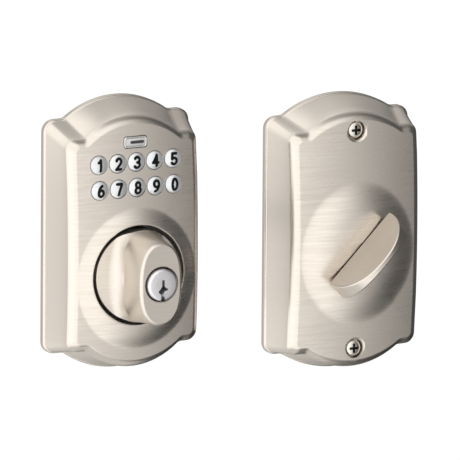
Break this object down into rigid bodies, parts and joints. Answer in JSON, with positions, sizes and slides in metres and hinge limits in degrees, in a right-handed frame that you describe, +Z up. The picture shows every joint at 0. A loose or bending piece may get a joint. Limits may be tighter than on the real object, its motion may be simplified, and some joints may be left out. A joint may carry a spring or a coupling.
{
  "type": "keypad smart lock",
  "caption": "Keypad deadbolt trim: arched outside plate with number keys, turning knob and key cylinder, and inside cover with a thumbturn and two screws.",
  "frame": {"origin": "on the door face, on the axis of the outside knob", "axes": "+X right along both plates, -Y out of the front of both halves, +Z up"},
  "size_m": [0.1934, 0.1029, 0.1417],
  "materials": {
    "exterior_escutcheon": "satin nickel, fine horizontal brushing",
    "interior_cover": "satin nickel, fine horizontal brushing",
    "outside_turn": "satin nickel, fine horizontal brushing",
    "interior_thumbturn": "satin nickel, fine horizontal brushing",
    "key_1": "satin silver with a black digit",
    "key_2": "satin silver with a black digit",
    "key_3": "satin silver with a black digit",
    "key_4": "satin silver with a black digit",
    "key_5": "satin silver with a black digit",
    "key_6": "satin silver with a black digit",
    "key_7": "satin silver with a black digit",
    "key_8": "satin silver with a black digit",
    "key_9": "satin silver with a black digit",
    "key_0": "satin silver with a black digit",
    "status_button": "bright frame",
    "status_lens": "smoked",
    "cylinder_plug": "fine polished nickel",
    "cover_screw_top": "nickel plated",
    "cover_screw_bottom": "nickel plated",
    "exterior_back_plate": "zinc plated",
    "interior_mounting_plate": "zinc plated",
    "post_left": "zinc plated",
    "post_right": "zinc plated",
    "turn_retaining_ring": "zinc plated",
    "cylinder_clip": "zinc plated",
    "tailpiece": "zinc plated",
    "standoff_top": "zinc plated",
    "standoff_bottom": "zinc plated",
    "through_bolt_left": "zinc plated",
    "through_bolt_right": "zinc plated",
    "thumbturn_washer": "zinc plated",
    "thumbturn_clip": "zinc plated",
    "clutch_motor": "zinc plated",
    "clutch_worm": "zinc plated",
    "clutch_pin": "zinc plated",
    "key_pin_1": "turned",
    "driver_pin_1": "turned",
    "pin_spring_1": "wire",
    "key_pin_2": "turned",
    "driver_pin_2": "turned",
    "pin_spring_2": "wire",
    "key_pin_3": "turned",
    "driver_pin_3": "turned",
    "pin_spring_3": "wire",
    "key_pin_4": "turned",
    "driver_pin_4": "turned",
    "pin_spring_4": "wire",
    "key_pin_5": "turned",
    "driver_pin_5": "turned",
    "pin_spring_5": "wire",
    "cylinder_body": "cast",
    "clutch_ring": "turned",
    "exterior_gasket": "foam rubber",
    "keypad_membrane": "silicone",
    "keypad_board": "solder mask",
    "indicator_led": "clear",
    "battery": "plain sleeve",
    "battery_snap": "moulded",
    "battery_tray": "moulded"
  },
  "bodies": {
    "housing": {"exterior_escutcheon": "exterior_escutcheon", "interior_cover": "interior_cover", "cover_screw_top": "cover_screw_top", "cover_screw_bottom": "cover_screw_bottom", "exterior_back_plate": "exterior_back_plate", "interior_mounting_plate": "interior_mounting_plate", "post_left": "post_left", "post_right": "post_right", "standoff_top": "standoff_top", "standoff_bottom": "standoff_bottom", "through_bolt_left": "through_bolt_left", "through_bolt_right": "through_bolt_right", "clutch_motor": "clutch_motor", "exterior_gasket": "exterior_gasket", "keypad_membrane": "keypad_membrane", "keypad_board": "keypad_board", "indicator_led": "indicator_led", "battery": "battery", "battery_snap": "battery_snap", "battery_tray": "battery_tray"},
    "key_1": {"key_1": "key_1"},
    "key_2": {"key_2": "key_2"},
    "key_3": {"key_3": "key_3"},
    "key_4": {"key_4": "key_4"},
    "key_5": {"key_5": "key_5"},
    "key_6": {"key_6": "key_6"},
    "key_7": {"key_7": "key_7"},
    "key_8": {"key_8": "key_8"},
    "key_9": {"key_9": "key_9"},
    "key_0": {"key_0": "key_0"},
    "status_button": {"status_button": "status_button", "status_lens": "status_lens"},
    "outside_knob": {"outside_turn": "outside_turn", "cylinder_body": "cylinder_body", "clutch_ring": "clutch_ring", "turn_retaining_ring": "turn_retaining_ring", "driver_pin_1": "driver_pin_1", "driver_pin_2": "driver_pin_2", "driver_pin_3": "driver_pin_3", "driver_pin_4": "driver_pin_4", "driver_pin_5": "driver_pin_5", "pin_spring_1": "pin_spring_1", "pin_spring_2": "pin_spring_2", "pin_spring_3": "pin_spring_3", "pin_spring_4": "pin_spring_4", "pin_spring_5": "pin_spring_5"},
    "plug": {"cylinder_plug": "cylinder_plug", "cylinder_clip": "cylinder_clip", "tailpiece": "tailpiece", "key_pin_1": "key_pin_1", "key_pin_2": "key_pin_2", "key_pin_3": "key_pin_3", "key_pin_4": "key_pin_4", "key_pin_5": "key_pin_5"},
    "clutch_screw": {"clutch_worm": "clutch_worm"},
    "clutch_bolt": {"clutch_pin": "clutch_pin"},
    "thumbturn": {"interior_thumbturn": "interior_thumbturn", "thumbturn_clip": "thumbturn_clip", "thumbturn_washer": "thumbturn_washer"}
  },
  "joints": [
    {"name": "press_1", "type": "slide", "parent": "housing", "child": "key_1", "axis": [0, 1, 0], "range_m": [0, 0.001], "stiffness_N_per_m": 300, "springref_m": -0.001},
    {"name": "press_2", "type": "slide", "parent": "housing", "child": "key_2", "axis": [0, 1, 0], "range_m": [0, 0.001], "stiffness_N_per_m": 300, "springref_m": -0.001},
    {"name": "press_3", "type": "slide", "parent": "housing", "child": "key_3", "axis": [0, 1, 0], "range_m": [0, 0.001], "stiffness_N_per_m": 300, "springref_m": -0.001},
    {"name": "press_4", "type": "slide", "parent": "housing", "child": "key_4", "axis": [0, 1, 0], "range_m": [0, 0.001], "stiffness_N_per_m": 300, "springref_m": -0.001},
    {"name": "press_5", "type": "slide", "parent": "housing", "child": "key_5", "axis": [0, 1, 0], "range_m": [0, 0.001], "stiffness_N_per_m": 300, "springref_m": -0.001},
    {"name": "press_6", "type": "slide", "parent": "housing", "child": "key_6", "axis": [0, 1, 0], "range_m": [0, 0.001], "stiffness_N_per_m": 300, "springref_m": -0.001},
    {"name": "press_7", "type": "slide", "parent": "housing", "child": "key_7", "axis": [0, 1, 0], "range_m": [0, 0.001], "stiffness_N_per_m": 300, "springref_m": -0.001},
    {"name": "press_8", "type": "slide", "parent": "housing", "child": "key_8", "axis": [0, 1, 0], "range_m": [0, 0.001], "stiffness_N_per_m": 300, "springref_m": -0.001},
    {"name": "press_9", "type": "slide", "parent": "housing", "child": "key_9", "axis": [0, 1, 0], "range_m": [0, 0.001], "stiffness_N_per_m": 300, "springref_m": -0.001},
    {"name": "press_0", "type": "slide", "parent": "housing", "child": "key_0", "axis": [0, 1, 0], "range_m": [0, 0.001], "stiffness_N_per_m": 300, "springref_m": -0.001},
    {"name": "press_status", "type": "slide", "parent": "housing", "child": "status_button", "axis": [0, 1, 0], "range_m": [0, 0.0008], "stiffness_N_per_m": 300, "springref_m": -0.001},
    {"name": "outside_knob_turn", "type": "hinge", "parent": "housing", "child": "outside_knob", "pos_m": [0, 0, 0], "axis": [0, 1, 0], "continuous": true},
    {"name": "plug_turn", "type": "hinge", "parent": "outside_knob", "child": "plug", "pos_m": [0, 0, 0], "axis": [0, 1, 0], "range_deg": [-90, 90]},
    {"name": "thumbturn_turn", "type": "hinge", "parent": "housing", "child": "thumbturn", "pos_m": [0.1172, 0, 0], "axis": [0, 1, 0], "range_deg": [-45, 45]},
    {"name": "clutch_screw_spin", "type": "hinge", "parent": "housing", "child": "clutch_screw", "pos_m": [0, -0.008, 0.03], "axis": [0, 0, 1], "range_deg": [0, 1080]},
    {"name": "clutch_bolt_slide", "type": "slide", "parent": "housing", "child": "clutch_bolt", "axis": [0, 0, -1], "range_m": [0, 0.003]}
  ],
  "couplings": [
    {"joint": "clutch_screw_spin", "follows": "clutch_bolt_slide", "rad_per_m": 6283.2}
  ]
}
